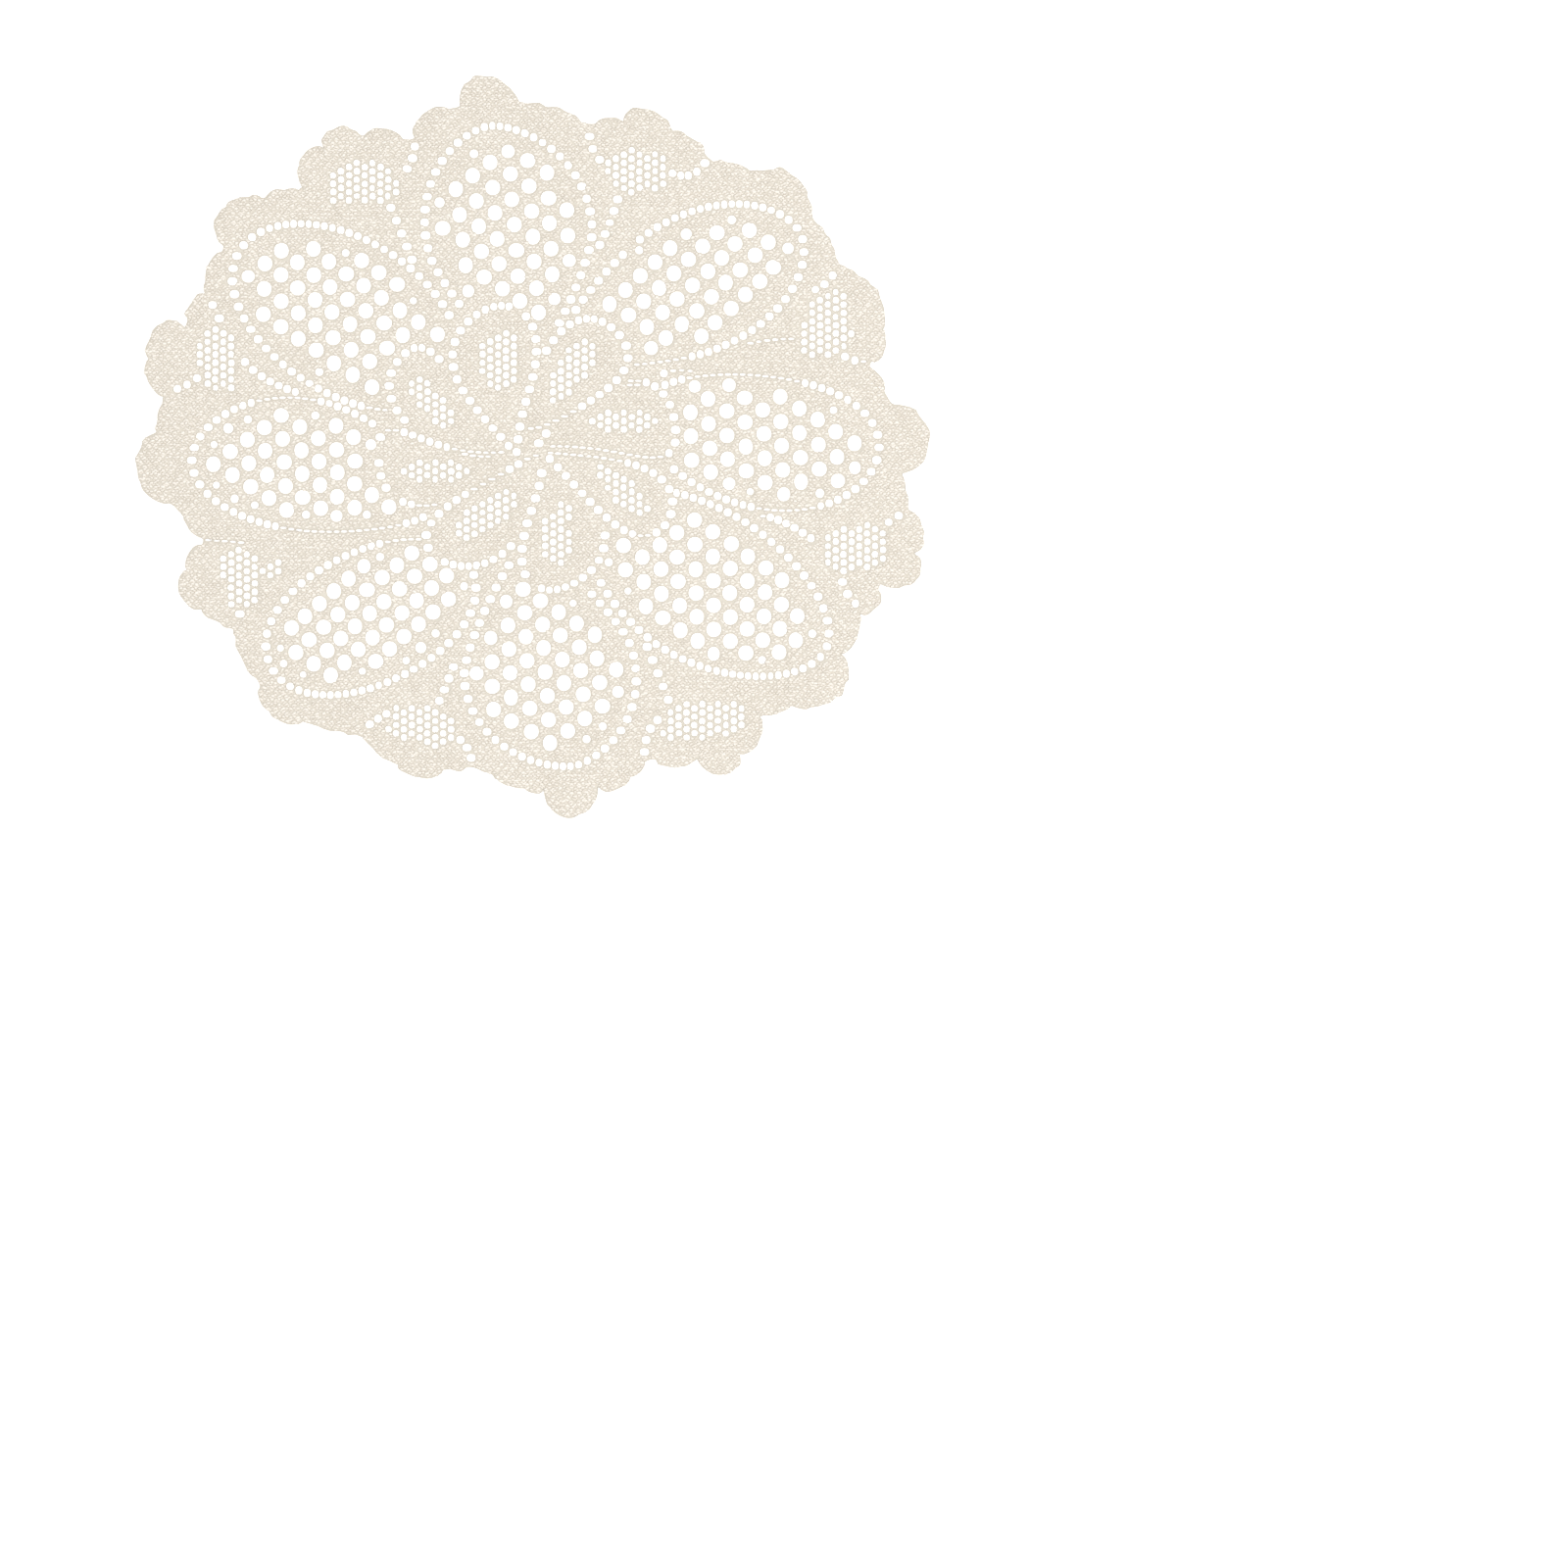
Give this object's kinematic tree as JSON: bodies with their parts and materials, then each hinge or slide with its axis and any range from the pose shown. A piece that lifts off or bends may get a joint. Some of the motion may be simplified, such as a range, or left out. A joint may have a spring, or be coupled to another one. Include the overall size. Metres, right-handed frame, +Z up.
{
  "type": "round lace doily",
  "caption": "Flat round doily of knitted openwork lace: a flower with petals of round holes about a small inner flower, inside an uneven scalloped edge.",
  "frame": {"origin": "on the surface it lies on, under the middle of the bounding box", "axes": "+X to the right across the doily's longest width, +Y up the flower as it is seen from above, +Z up out of the cloth's face"},
  "size_m": [0.3, 0.2804, 0.0015],
  "materials": {
    "ecru_cotton": "matte unbleached knitted cotton"
  },
  "bodies": {
    "root": {"lace_cloth": "ecru_cotton"}
  },
  "joints": []
}
